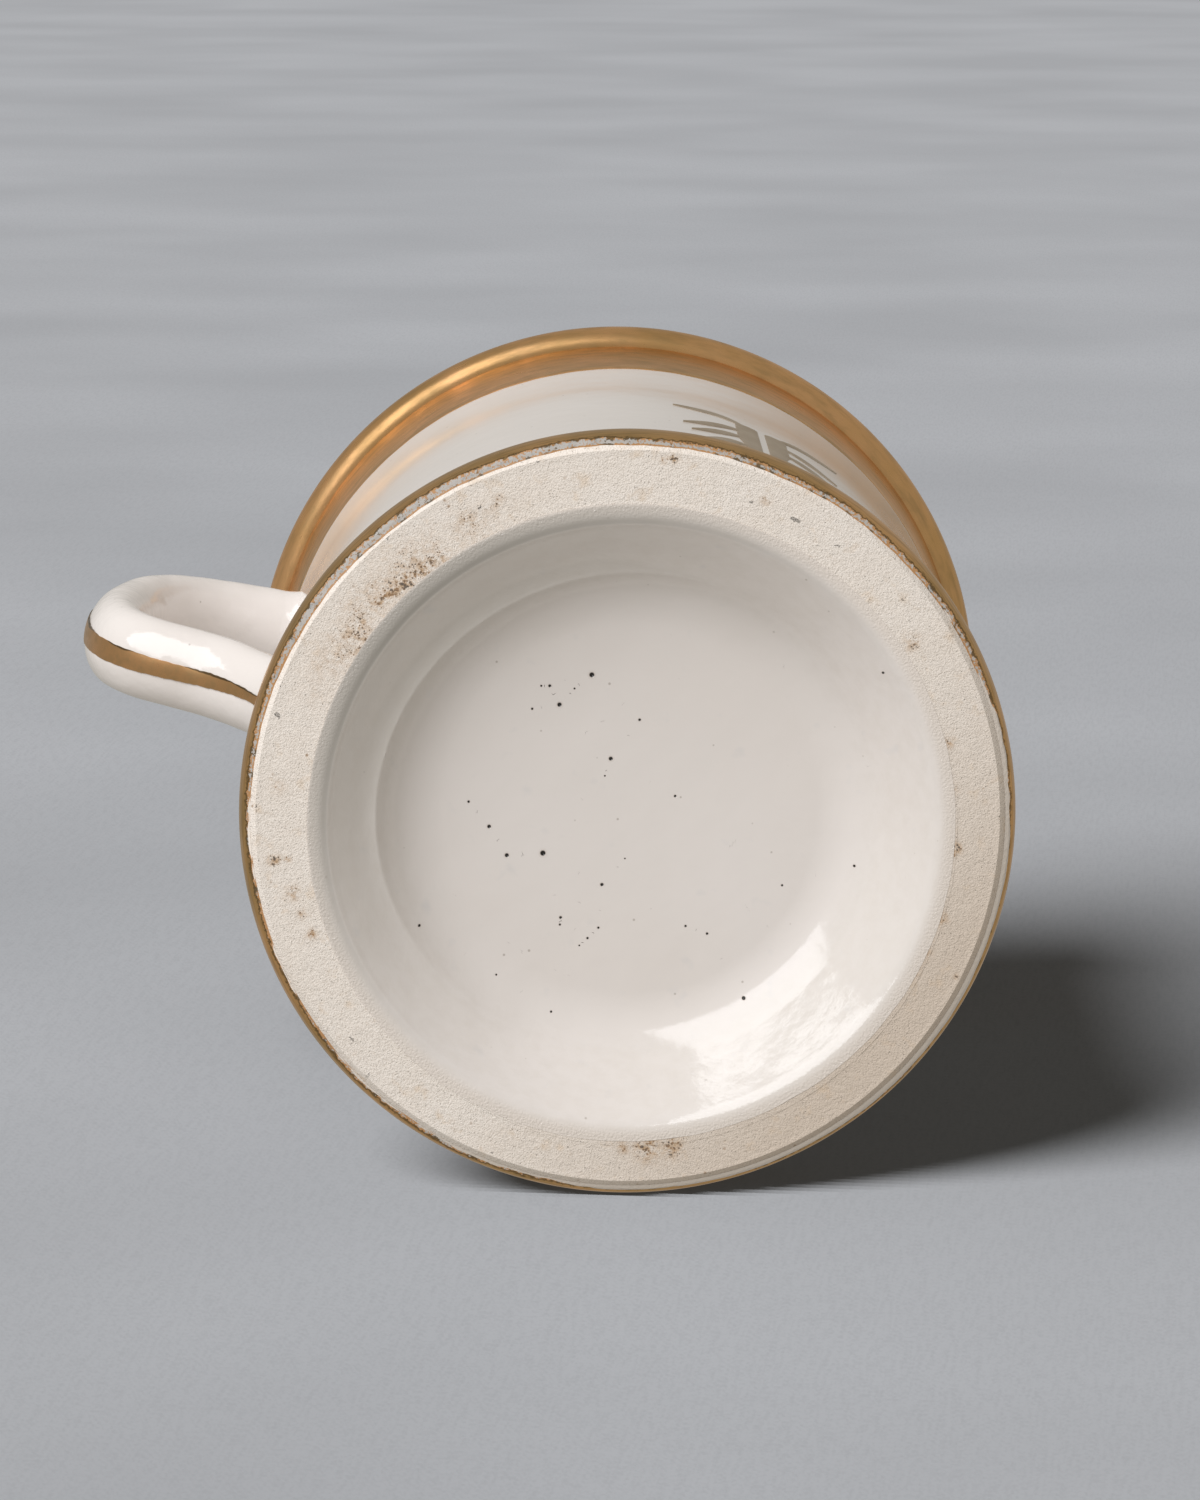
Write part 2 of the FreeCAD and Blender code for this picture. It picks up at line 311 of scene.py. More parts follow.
def closed_tube(rings):
    return capped_tube(rings, (rings[0].mean(0), rings[-1].mean(0)))


def lathe_mesh(points, poles):
    """Vertices and faces of a turned shell: a closed tube, or one with a pole at both ends."""
    if poles:
        return capped_tube(points[1:-1], (points[0].mean(0), points[-1].mean(0)))
    return points.reshape(-1, 3), grid_faces(*points.shape[:2], True, True)


# Looks

class Look:
    """A material built up from nodes round one principled shader."""

    def __init__(self, name):
        self.material = bpy.data.materials.new(name)
        self.material.use_nodes = True
        self.tree = self.material.node_tree
        self.shader = self.tree.nodes["Principled BSDF"]
        self.where = self.node("ShaderNodeTexCoord").outputs["Object"]

    def node(self, kind, settings=None, **inputs):
        made = self.tree.nodes.new(kind)
        for key, value in (settings or {}).items():
            setattr(made, key, value)
        for key, value in inputs.items():
            numbered = key[0] == "i" and key[1:].isdigit()
            self.put(made.inputs[int(key[1:]) if numbered else key.replace("_", " ")], value)
        return made

    def put(self, socket, value):
        if isinstance(value, bpy.types.NodeSocket):
            self.tree.links.new(value, socket)
        else:
            socket.default_value = value

    def set(self, **inputs):
        for key, value in inputs.items():
            self.put(self.shader.inputs[key.replace("_", " ")], value)

    def mark(self, name, output="Fac"):
        return self.node("ShaderNodeAttribute", {"attribute_name": name}).outputs[output]

    def math(self, operation, a, b=0.0, clamp=False):
        settings = {"operation": operation, "use_clamp": clamp}
        return self.node("ShaderNodeMath", settings, i0=a, i1=b).outputs[0]

    def times(self, a, b, clamp=False):
        return self.math("MULTIPLY", a, b, clamp)

    def plus(self, a, b):
        return self.math("ADD", a, b)

    def minus(self, a, b):
        return self.math("SUBTRACT", a, b)

    def vector(self, operation, a, b=(0, 0, 0)):
        made = self.node("ShaderNodeVectorMath", {"operation": operation}, i0=a)
        if operation != "LENGTH":
            self.put(made.inputs[1], b)
        return made.outputs["Value" if operation in ("LENGTH", "DOT_PRODUCT") else "Vector"]

    def noise(self, scale, detail=3.0, roughness=0.5, where=None):
        return self.node("ShaderNodeTexNoise", Vector=where or self.where, Scale=scale, Detail=detail,
                         Roughness=roughness).outputs["Fac"]

    def spots(self, scale):
        return self.node("ShaderNodeTexVoronoi", Vector=self.where, Scale=scale).outputs["Distance"]

    def ramp(self, factor, *stops):
        """Colour or grey stops, each (position, value)."""
        made = self.node("ShaderNodeValToRGB", Fac=factor)
        elements = made.color_ramp.elements
        while len(elements) < len(stops):
            elements.new(0.5)
        for element, (position, value) in zip(elements, stops):
            element.position = position
            element.color = (*value, 1) if isinstance(value, tuple) else (value, value, value, 1)
        return made.outputs["Color"]

    def rise(self, factor, low, high, top=1.0):
        """0 up to the low place, growing evenly to the top value at the high one."""
        return self.ramp(factor, (low, 0.0), (high, top))

    def mix(self, factor, a, b):
        made = self.node("ShaderNodeMix", {"data_type": "RGBA"})
        self.put(made.inputs[0], factor)
        for socket, value in ((made.inputs[6], a), (made.inputs[7], b)):
            self.put(socket, (*value, 1) if isinstance(value, tuple) else value)
        return made.outputs[2]

    def bump(self, height, distance, normal=None):
        made = self.node("ShaderNodeBump", Height=height, Distance=distance)
        if normal is not None:
            self.put(made.inputs["Normal"], normal)
        return made.outputs["Normal"]


WHITE = (0.805, 0.753, 0.722)
CLOUDED_WHITE = (0.785, 0.730, 0.692)
SHOULDER_SHADE_COLOUR = (0.400, 0.375, 0.340)
WARM_WHITE = (0.660, 0.600, 0.540)
WALL_GREY_AND_SHADE = (0.715, 0.672, 0.630)


def porcelain(name, orange_peel=1.0):
    """White glaze: slight clouds in its colour, and the soft waviness of a fired coat."""
    look = Look(name)
    tone = look.noise(45.0, 3.0)
    colour = look.mix(look.rise(tone, 0.35, 0.75), WHITE, CLOUDED_WHITE)
    broad = look.noise(260.0, 2.0)
    fine = look.noise(1500.0, 2.0)
    normal = look.bump(broad, 0.00012 * orange_peel)
    normal = look.bump(fine, 0.000018 * orange_peel, normal)
    specks = look.spots(330.0)
    pit = look.ramp(specks, (0.035, 1.0), (0.06, 0.0))
    colour = look.mix(look.times(pit, 0.45), colour, (0.22, 0.17, 0.12))
    look.set(Base_Color=colour, Normal=normal, Roughness=look.ramp(fine, (0.3, 0.08), (0.7, 0.13)), IOR=1.5,
             Specular_IOR_Level=0.5)
    look.base, look.normal = colour, normal
    return look


def cylinder_place(look, centre=(0.0, 0.0), around=1.0, out=1.0, along=1.0):
    """Coordinates (distance round, distance out, height), stretched as asked, so marks follow the wheel."""
    moved = look.vector("SUBTRACT", look.where, (centre[0] * MM, centre[1] * MM, 0.0))
    parts = look.node("ShaderNodeSeparateXYZ", Vector=moved).outputs
    turned = look.math("ARCTAN2", parts["Y"], parts["X"])
    radius = look.math("SQRT", look.plus(look.times(parts["X"], parts["X"]),
                                         look.times(parts["Y"], parts["Y"])))
    # The angle is bent onto a circle so that nothing jumps where it starts over.
    ring = look.times(look.math("COSINE", turned), around)
    ring_b = look.times(look.math("SINE", turned), around)
    rise = look.plus(look.times(radius, out), look.times(parts["Z"], along))
    return look.node("ShaderNodeCombineXYZ", X=ring, Y=ring_b, Z=rise).outputs["Vector"], radius


def gold(name, base, olive, bright, fineness=1.0, turned=True):
    """Worn fired gold: brushed round the wheel, olive where thin, coppery where rubbed."""
    look = Look(name)
    brushed = cylinder_place(look, around=0.012, out=fineness, along=fineness)[0] if turned else look.where
    streak = look.noise(900.0, 4.0, 0.6, brushed)
    patch = look.noise(70.0, 3.0, 0.55)
    colour = look.mix(look.rise(patch, 0.36, 0.66), base, bright)
    thin = look.times(look.rise(streak, 0.42, 0.72), 0.45)
    colour = look.mix(thin, colour, olive)
    look.colour, look.streak = colour, streak
    look.set(Base_Color=colour, Metallic=1.0, Roughness=look.ramp(streak, (0.3, 0.26), (0.75, 0.40)),
             Normal=look.bump(streak, 0.00002))
    return look


# Clay body: only the unglazed ring under the foot shows

# Side of the ring, round the axis, that is darkened as painted shade, away from the key light
shaded_side = math.radians(30.0)


def bisque_material():
    look = Look("bisque_clay")
    grain = look.noise(5200.0, 3.0, 0.65)
    pores = look.spots(2600.0)
    cloudy = look.noise(130.0, 4.0, 0.6)
    colour = look.mix(look.rise(cloudy, 0.35, 0.68), (0.955, 0.880, 0.810), (0.930, 0.842, 0.760))
    # Painted shade: the clay is darkened towards the side of the ring turned away from the key light.
    shade_direction = Vector((math.cos(shaded_side), math.sin(shaded_side), 0)) / (foot_radius * MM)
    clay_painted_shade = look.ramp(look.vector("DOT_PRODUCT", look.where, shade_direction), (0.20, 0.0), (0.62, 0.52), (0.88, 1.0))
    colour = look.mix(clay_painted_shade, colour, (0.730, 0.620, 0.520))
    colour = look.mix(look.ramp(grain, (0.30, 0.55), (0.50, 0.0)), colour, (0.60, 0.50, 0.41))
    warm = look.rise(look.noise(420.0, 3.0, 0.6), 0.58, 0.72, 0.45)
    colour = look.mix(warm, colour, (0.76, 0.58, 0.41))
    # Dirt and firing specks: marked places broken into grains, over a tan glow
    stain = look.mark("stain")
    cloth = look.rise(look.noise(1100.0, 4.0, 0.7), 0.38, 0.62)
    glow = look.times(look.times(stain, cloth), 1.7, clamp=True)
    colour = look.mix(glow, colour, (0.60, 0.42, 0.27))
    density = look.times(stain, look.plus(look.times(cloth, 0.62), 0.18))
    grains = look.minus(density, look.spots(3000.0))
    dirt = look.rise(look.plus(grains, 0.5), 0.40, 0.52, 0.9)
    brown = look.mix(look.rise(look.noise(900.0, 2.0), 0.4, 0.6), (0.36, 0.21, 0.11),
                     (0.12, 0.10, 0.085))
    dirt = look.times(dirt, look.rise(stain, 0.04, 0.2))
    colour = look.mix(dirt, colour, brown)
    stray = look.times(look.ramp(look.spots(560.0), (0.05, 1.0), (0.13, 0.0)),
                      look.rise(look.noise(210.0, 2.0), 0.50, 0.60, 0.8))
    colour = look.mix(stray, colour, (0.36, 0.22, 0.12))
    normal = look.bump(look.noise(2100.0, 3.0, 0.6), 0.00010)
    normal = look.bump(grain, 0.00014, normal)
    normal = look.bump(look.rise(pores, 0.0, 0.22), 0.00007, normal)
    look.set(Base_Color=colour, Roughness=look.ramp(grain, (0.3, 0.95), (0.7, 0.78)), Normal=normal)
    return look.material


# Stains on the ring: x, y, spread and strength, millimetres
ring_stains = (
    (-24.0, -28.0, 1.1, 0.6), (-21.6, -30.4, 0.6, 0.6), (-34.3, -10.6, 0.9, 0.5),
    (-4.0, -39.4, 0.5, 1.0), (-5.0, -39.0, 0.4, 0.8), (6.6, -37.1, 0.5, 0.7),
    (25.4, -25.6, 0.9, 0.6), (31.8, -15.8, 0.5, 0.9), (33.6, -11.0, 0.5, 0.6), (35.3, -4.7, 0.7, 1.0),
    (35.3, 3.2, 0.8, 1.0), (34.6, 7.4, 0.7, 1.0), (33.9, 9.2, 0.7, 1.0),
    (10.2, 35.0, 1.5, 0.8), (13.0, 34.4, 1.1, 0.9), (7.6, 35.6, 0.8, 0.6),
    (-36.3, 12.8, 0.6, 1.0), (-34.9, 12.4, 0.4, 0.7), (-33.5, 15.9, 0.7, 0.7), (-30.5, 19.9, 0.6, 0.8),
    (-32.0, 18.0, 0.5, 0.6), (-37.5, 5.0, 0.8, 0.3), (-21.2, -30.9, 0.6, 0.5), (38.6, 9.0, 0.3, 0.8),
)


def make_body():
    foot_edge = -math.degrees(math.asin(foot_crest / foot_roll))
    skin = joined(outside(0, foot_edge)[:-1], inside(0))
    inner = skin[::-1]
    coarse = inner[:: 2]
    coarse[-1] = inner[-1]
    ring = straight(polar(foot_centre, foot_roll, foot_edge), (ring_inner, 0), 0.16)
    under = joined(ring, recess(0, step=0.8))
    loop = joined(coarse, under)
    loop[0, 0] = loop[-1, 0] = 0
    points, _ = lathe_points(loop, 1024)
    ring_rows = np.arange(len(coarse) - 1, len(coarse) + len(ring))
    shifted = np.arange(len(coarse) + len(ring) - 2, len(loop))
    points[shifted, :, :2] += recess_centre
    # The ring's inner edge follows the off-centre recess, and its face is a little uneven.
    share = np.linspace(0, 1, len(ring_rows))[:, None, None]
    points[ring_rows, :, :2] += share * recess_centre
    flat = points[ring_rows].reshape(-1, 3)
    dips = np.clip(0.03 + cloud(flat, 5, 2.4, 0.014) + cloud(flat, 6, 0.7, 0.010), 0, 0.09)
    calm = smooth(8 * share[..., 0]) * smooth(6 * (1 - share[..., 0]))
    points[ring_rows, :, 2] += dips.reshape(len(ring_rows), -1) * calm
    vertices, faces = lathe_mesh(points, True)
    stain = np.zeros(len(vertices))
    low = vertices[:, 2] < 1.0
    for x, y, spread, strength in ring_stains:
        away = away_from((x, y), vertices[low])
        stain[low] = np.maximum(stain[low], strength * np.exp(-(away / spread) ** 2))
    # A long stain spreads outwards from the recess's edge on one side.
    reach = away_from(recess_centre, vertices[low]) - ring_inner
    turned = np.arctan2(vertices[low, 1], vertices[low, 0])
    patchy = np.clip(0.9 + cloud(vertices[low], 9, 4.5, 0.35), 0.3, 1)
    dense = np.exp(-((reach - 1.1 - cloud(vertices[low], 10, 7.0, 0.5)) / 1.3) ** 2) * lobe(turned, -148, 22)
    faint = 0.45 * np.exp(-((reach - 2.0) / 2.3) ** 2) * lobe(turned, -146, 36)
    stain[low] = np.maximum(stain[low], patchy * np.maximum(dense, faint))
    make_piece("clay_body", vertices, faces, bisque_material(), ["body"],
               marks={"stain": np.clip(stain, 0, 1)})


# Recess under the base

# Pinholes burnt into the recess's floor: x, y and radius, millimetres
pinholes = (
    (-6.9, -13.1, 0.30), (-9.6, -9.1, 0.26), (-7.7, 7.4, 0.32), (-11.5, 8.5, 0.24), (-14.1, 5.8, 0.22),
    (-0.6, 9.4, 0.20), (-2.8, -4.5, 0.24), (-0.7, -9.4, 0.16), (5.0, -2.0, 0.15), (-16.9, 3.6, 0.15),
    (-11.1, -10.9, 0.18), (-12.0, -10.7, 0.12), (-12.4, -8.0, 0.14), (-4.2, 14.0, 0.17), (-4.1, 14.8, 0.13),
    (0.1, 14.2, 0.14), (-0.8, 15.6, 0.14), (-1.5, 16.6, 0.10), (9.4, 11.9, 0.14), (11.9, 12.2, 0.15),
    (17.4, 18.2, 0.22), (25.8, 1.0, 0.15), (23.3, -21.5, 0.15), (-19.2, 17.8, 0.16), (-9.7, 21.7, 0.11),
    (-2.9, 24.4, 0.13), (18.7, 5.1, 0.13), (-8.4, -11.2, 0.11), (-3.0, -2.5, 0.10), (1.2, 6.0, 0.09),
)


# The turner's marks: a shelf that ends in a crease round the floor, strongest on one side, a slow wave in
# the wall above it, and a bead of glaze where the wall turns over
crease_radius = 26.8
crease_side = math.radians(-163.0)
shelf_height = 1.45
shelf_width = 1.9
drop_width = 2.6
wall_wave = 0.05
wall_wave_start = 32.1
wall_wave_length = 4.3
bead_radius = 32.8
thin_width = 1.7


def recess_material():
    look = porcelain("recess_glaze", 0.45)
    colour, normal = look.base, look.normal
    wheel, radius = cylinder_place(look, recess_centre, around=0.010, out=1.0, along=0.25)
    streaks = look.noise(1500.0, 4.0, 0.6, wheel)
    out = look.times(radius, 25.0)
    sloped = look.ramp(out, (0.600, 0.0), (0.675, 1.0), (0.84, 1.0), (0.88, 0.0))
    # The wall holds thicker, greyer glaze in places, with the turner's streaks in it. The grey is partly
    # painted shade: strongest on the side turned away from the key light, and also darkening the wall where
    # the key light falls most directly.
    colour = look.mix(look.mark("thick"), colour, WALL_GREY_AND_SHADE)
    lines = look.times(look.rise(streaks, 0.40, 0.68), sloped)
    colour = look.mix(look.times(lines, 0.22), colour, WARM_WHITE)
    normal = look.bump(look.times(streaks, sloped), 0.000018, normal)
    haze = look.rise(look.noise(330.0, 2.0, 0.5), 0.66, 0.80, 0.22)
    colour = look.mix(haze, colour, (0.55, 0.56, 0.58))
    # Towards the ring the glaze thins over the rough clay.
    thin = look.mark("thin")
    grain = look.noise(3600.0, 2.0, 0.6)
    colour = look.mix(look.times(thin, 0.55), colour, (0.84, 0.74, 0.65))
    normal = look.bump(look.times(grain, thin), 0.00012, normal)
    # Painted shade on the shoulder where the wall turns onto the ring, on the side turned away from the key
    # light.
    colour = look.mix(look.mark("painted_shoulder_shade"), colour, SHOULDER_SHADE_COLOUR)
    away = look.vector("LENGTH", look.mark("pinhole", "Vector"))
    halo = look.ramp(away, (0.30, 0.55), (0.46, 0.14), (0.75, 0.0))
    colour = look.mix(halo, colour, (0.42, 0.33, 0.25))
    core = look.ramp(away, (0.30, 1.0), (0.38, 0.0))
    colour = look.mix(core, colour, (0.012, 0.010, 0.009))
    dip = look.rise(away, 0.12, 0.42)
    normal = look.bump(dip, 0.00010, normal)
    look.set(Base_Color=colour, Normal=normal)
    return look.material


def make_recess():
    outer, run = feathered(recess(glaze, step=0.2), glaze, thin_width, False)
    inner = recess(0, step=1.2)
    loop = joined(outer[::-1], inner + (0, 0.01))
    outer_rows = len(outer)
    loop[0, 0] = loop[-1, 0] = 0
    points, angle = lathe_points(loop, 900, recess_centre)
    seen = np.arange(outer_rows)
    radius = loop[seen, 0][:, None]
    side = np.clip(0.10 + 0.95 * np.cos(angle - crease_side), 0, 1)
    out = radius - crease_radius - lobe(angle, 167, 75) - ripple(angle, 3, (1, 2, 3), 0.12)
    shelf = -shelf_height * side * np.exp(-np.where(out > 0, out / shelf_width, -out / drop_width))
    bead = -0.11 * side * np.exp(-((radius - bead_radius - ripple(angle, 7, (1, 2, 4), 0.08)) / 0.28) ** 2)
    phase = (radius - wall_wave_start + ripple(angle, 4, (1, 2), 0.2)) / wall_wave_length
    wave = wall_wave * side * np.sin(2 * math.pi * phase)
    wall = smooth((radius - crease_radius) / 0.8) * smooth((ring_inner - 1.6 - radius) / 1.2)
    flat = points[seen].reshape(-1, 3)
    sag = (cloud(flat, 11, 14.0, 0.035) + cloud(flat, 12, 5.0, 0.008)).reshape(outer_rows, -1)
    inner_share = np.clip((ring_inner - 0.8 - radius) / 2.0, 0, 1)
    points[seen, :, 2] += shelf + bead + wave * wall + sag * inner_share
    # The glaze creeps a little way onto the ring, unevenly.
    thin = (1 - smooth(run[::-1] / thin_width))[:, None]
    creep = 0.16 + ripple(angle, 9, (2, 3, 5, 9, 14), 0.07) + ripple(angle, 10, (31, 47, 70), 0.03)
    points[seen, :, :2] += (creep * thin ** 3)[..., None] * polar((0, 0), 1, np.degrees(angle))
    vertices, faces = lathe_mesh(points, True)
    holes = np.array(pinholes)
    flat = vertices[:, None, :2] - holes[None, :, :2]
    scaled = flat / (holes[None, :, 2:3] * 2.6)
    nearest = np.hypot(scaled[..., 0], scaled[..., 1]).argmin(1)
    picked = scaled[np.arange(len(vertices)), nearest]
    offset = np.c_[np.clip(picked, -9, 9), np.zeros(len(vertices))]
    reach = away_from(recess_centre, vertices)
    edge = smooth((reach - ring_inner + 1.9) / 1.7)
    # Band of painted shade on the shoulder above the ring, weighted to the side turned away from the key
    # light.
    painted_shoulder_shade = smooth((reach - bead_radius) / 0.25) * smooth((ring_inner + 0.3 - reach) / 0.5)
    turned = np.arctan2(vertices[:, 1], vertices[:, 0])
    grey = 0.85 * painted_shoulder_shade * lobe(turned, -150, 105)
    # Greyer tone of thicker glaze on the wall, and painted shade: strongest on the side turned away from the
    # key light, and also where the key light falls most directly.
    thick = smooth((reach - 24) / 3) * smooth((ring_inner - reach) / 1.6) \
        * (0.9 * lobe(turned, -150, 120) + 0.75 * lobe(turned, 32, 70))
    make_piece("glaze_recess", vertices, faces, recess_material(), ["recess_glaze"],
               marks={"pinhole": offset, "thin": edge, "painted_shoulder_shade": grey, "thick": thick})


# Outer and inner glaze

def make_outer_glaze():
    outer, run = feathered(outside(glaze, glaze_edge), glaze, 0.9, True)
    loop = joined(outer, outside(-0.01, glaze_edge, step=1.0)[::-1])
    points, angle = lathe_points(loop, 640)
    seen = np.arange(len(outer))
    z = loop[seen, 1][:, None]
    radial = np.stack([np.cos(angle), np.sin(angle), 0 * angle], -1)
    uneven = ripple(angle, 21, (2, 3), 0.05) * np.clip(z / height, 0, 1)
    flat = points[seen].reshape(-1, 3)
    uneven = uneven + cloud(flat, 22, 24.0, 0.02).reshape(len(seen), -1)
    calm = np.clip((height - 3.5 - z) / 4.0, 0, 1) * np.clip((z - 8.0) / 4.0, 0, 1)
    points[seen] += (np.minimum(uneven - 0.03, 0) * calm)[..., None] * radial
    vertices, faces = lathe_mesh(points, False)
    thin = np.zeros(points.shape[:2])
    thin[seen] = (1 - smooth(run / 1.3))[:, None]
    look = porcelain("outer_glaze", 0.12)
    # Along the foot the glaze breaks up over the rough clay.
    ragged = look.times(look.noise(1500.0, 3.0, 0.6), 0.5)
    broken = look.plus(ragged, look.mark("thin"))
    bare = look.rise(broken, 0.60, 0.85)
    grain = look.times(look.noise(2100.0, 3.0, 0.6), bare)
    look.set(Base_Color=look.mix(bare, look.base, (0.88, 0.79, 0.71)),
             Roughness=look.ramp(bare, (0.0, 0.10), (1.0, 0.85)),
             Normal=look.bump(grain, 0.00012, look.normal))
    make_piece("glaze_outer", vertices, faces, look.material, ["outer_glaze"],
               marks={"thin": thin.ravel()})


def make_inner_glaze():
    loop = joined(inside(glaze)[::-1], inside(0)[::2])
    loop[0, 0] = loop[-1, 0] = 0
    points, _ = lathe_points(loop, 512)
    vertices, faces = lathe_mesh(points, True)
    make_piece("glaze_inner", vertices, faces, porcelain("inner_glaze", 0.3).material,
               ["inner_glaze"])


# Gilt bands. The foot's is worn hardest on two sides: direction and width in degrees, and strength.

worn_sides = ((-141, 52, 1.0), (-75, 50, 0.5))
least_worn_side = 32


def make_rim_band():
    """Band from its hand-painted lower edge up the flare and over the lip roll."""
    segments = 1024
    angle = turns(segments)
    low_edge = rim_band_start + 0.05 + ripple(angle, 31, (1, 2, 3, 5, 8, 13), 0.16) \
        + ripple(angle, 32, (21, 34, 47, 63), 0.05)
    layers = []
    for coat in (glaze + gilding, glaze * 0.6):
        top = polar(flare_centre, flare_radius - coat, crossing(coat)[0])[1]
        share = np.linspace(0, 1, 36)[:, None]
        z = low_edge[None, :] * (1 - share) + top * share
        thin = np.clip(share / 0.06, 0, 1) if coat > glaze else 1.0
        radius = flare_centre[0] - np.sqrt((flare_radius - coat) ** 2 - (z - flare_start) ** 2)
        radius = radius - (1 - thin) * 0.12
        roll = arc(lip_centre, lip_roll + coat, crossing(coat)[1], 150.0, 0.11)
        radius = np.vstack([radius, np.repeat(roll[1:, :1], segments, 1)])
        z = np.vstack([z, np.repeat(roll[1:, 1:], segments, 1)])
        layers.append(round_axis(radius, angle, z))
    points = np.concatenate([layers[0], layers[1][::-1]])
    vertices, faces = lathe_mesh(points, False)
    look = gold("rim_gold", (0.72, 0.43, 0.18), (0.33, 0.24, 0.11), (0.90, 0.52, 0.25))
    make_piece("gilt_rim", vertices, faces, look.material, ["gilt_rim_band"])


def foot_gold():
    """Foot's gold: rubbed through to the glaze in a ragged strip along the clay, copper at its edges."""
    look = gold("foot_gold", (0.62, 0.40, 0.18), (0.15, 0.115, 0.05), (0.80, 0.48, 0.22), fineness=3.2)
    parts = look.node("ShaderNodeSeparateXYZ", Vector=look.mark("rub", "Vector")).outputs
    inward, worn = parts["X"], parts["Y"]
    ragged = look.minus(look.noise(1500.0, 4.0, 0.7), 0.5)
    depth = look.plus(worn, look.times(ragged, 0.9))
    bare = look.rise(look.plus(depth, 0.5), 0.49, 0.53)
    # A dark worn line follows the gold's edge.
    line = look.ramp(look.plus(depth, 0.5), (0.28, 0.0), (0.42, 0.85), (0.50, 0.85))
    colour = look.mix(line, look.colour, (0.20, 0.13, 0.06))
    flecks = look.noise(3100.0, 3.0, 0.7)
    near_gold = look.ramp(look.plus(depth, 0.5), (0.50, 0.20), (0.75, 0.0))
    near_clay = look.ramp(inward, (0.05, 0.24), (0.25, 0.0))
    copper = look.rise(look.plus(flecks, look.plus(near_gold, near_clay)), 0.545, 0.59)
    metal = look.mix(look.rise(look.noise(800.0, 1.0), 0.54, 0.64), (0.80, 0.43, 0.19),
                     (0.22, 0.15, 0.08))
    # Painted reflection: blue-grey glints of the surroundings in the bare glaze.
    painted_glints = look.rise(look.noise(1300.0, 3.0), 0.56, 0.62, 0.7)
    ground = look.mix(copper, look.mix(painted_glints, (0.80, 0.76, 0.73), (0.58, 0.60, 0.62)), metal)
    look.set(Base_Color=look.mix(bare, colour, ground),
             Metallic=look.minus(1.0, bare),
             Roughness=look.mix(bare, look.ramp(look.streak, (0.3, 0.26), (0.75, 0.40)), (0.14, 0.14, 0.14)),
             Normal=look.bump(bare, -0.00003))
    return look.material


def make_foot_band():
    segments = 1400
    angle = turns(segments)
    top = foot_band_end - 0.1 + ripple(angle, 41, (1, 3, 4, 7, 11), 0.15)
    worn_side = sum(strength * lobe(angle, side, width) for side, width, strength in worn_sides)
    worn_side = np.clip(worn_side, 0, 1)
    start = -41.5 - 7.0 * worn_side + 7.0 * lobe(angle, least_worn_side, 95)
    start = start + ripple(angle, 42, (3, 8, 17, 29, 41, 60, 83, 111), 1.5)
    worn = 0.36 + 0.62 * worn_side + ripple(angle, 43, (2, 3, 5, 9, 15), 0.10)
    layers = []
    rub = []
    for coat in (glaze + gilding, glaze * 0.4):
        share = np.linspace(0, 1, 44)[:, None]
        degrees = start[None, :] * (1 - share) + foot_join * share
        across = np.radians(degrees - start) * foot_roll
        reach = feather_edge + (coat - feather_edge) * smooth(across / 0.9)
        if coat < glaze:
            reach = reach - 0.03
        on_roll = foot_centre + (foot_roll + reach)[..., None] * polar((0, 0), 1, degrees)
        cove = foot_cove - coat
        last = 180 + np.degrees(np.arcsin((foot_cove_centre[1] - top) / cove))
        share = np.linspace(0, 1, 16)[1:, None]
        on_cove = polar(foot_cove_centre, cove, (180 + foot_join) * (1 - share) + last[None, :] * share)
        line = np.concatenate([on_roll, on_cove])
        layers.append(round_axis(line[..., 0], angle, line[..., 1]))
        across = np.concatenate([across, np.repeat(across[-1:] + 1, len(on_cove), 0)])
        rub.append(np.stack([across, np.clip(worn[None, :] - across, -2, 2), 0 * across], -1))
    points = np.concatenate([layers[0], layers[1][::-1]])
    rub = np.concatenate([rub[0], rub[1][::-1]])
    vertices, faces = lathe_mesh(points, False)
    make_piece("gilt_foot", vertices, faces, foot_gold(), ["gilt_foot_band"],
               marks={"rub": rub.reshape(-1, 3)})


# Handle

handle_root = 2.0
handle_points = np.array([
    (wall_radius - handle_root, height - 20.0),
    (wall_radius + 12.3, height - 23.7),
    (wall_radius + 19.9, 45.0),
    (wall_radius + 15.9, 33.0),
    (wall_radius + 8.4, 30.4),
    (wall_radius - handle_root, 21.8),
])
start_slope = np.array([1.1835, 0.0592])
end_slope = np.array([-0.780, -0.700])
strap_half_depth = 3.2
strap_half_widths = (4.8, 4.3)
slip_spread = 1.2
slip_reach = 2.2
strap_columns = 96

handle_knots = np.r_[0, np.cumsum(np.linalg.norm(np.diff(handle_points, axis=0), axis=1))]


def spline_slopes():
    """Slopes at the knots of the smooth curve through the handle's points."""
    count = len(handle_knots)
    gaps = np.diff(handle_knots)
    steps = np.diff(handle_points, axis=0) / gaps[:, None]
    system, right = np.eye(count), np.zeros((count, 2))
    right[0], right[-1] = start_slope, end_slope
    for i in range(1, count - 1):
        system[i, i - 1:i + 2] = gaps[i], 2 * (gaps[i - 1] + gaps[i]), gaps[i - 1]
        right[i] = 3 * (gaps[i] * steps[i - 1] + gaps[i - 1] * steps[i])
    return np.linalg.solve(system, right)


handle_slopes = spline_slopes()


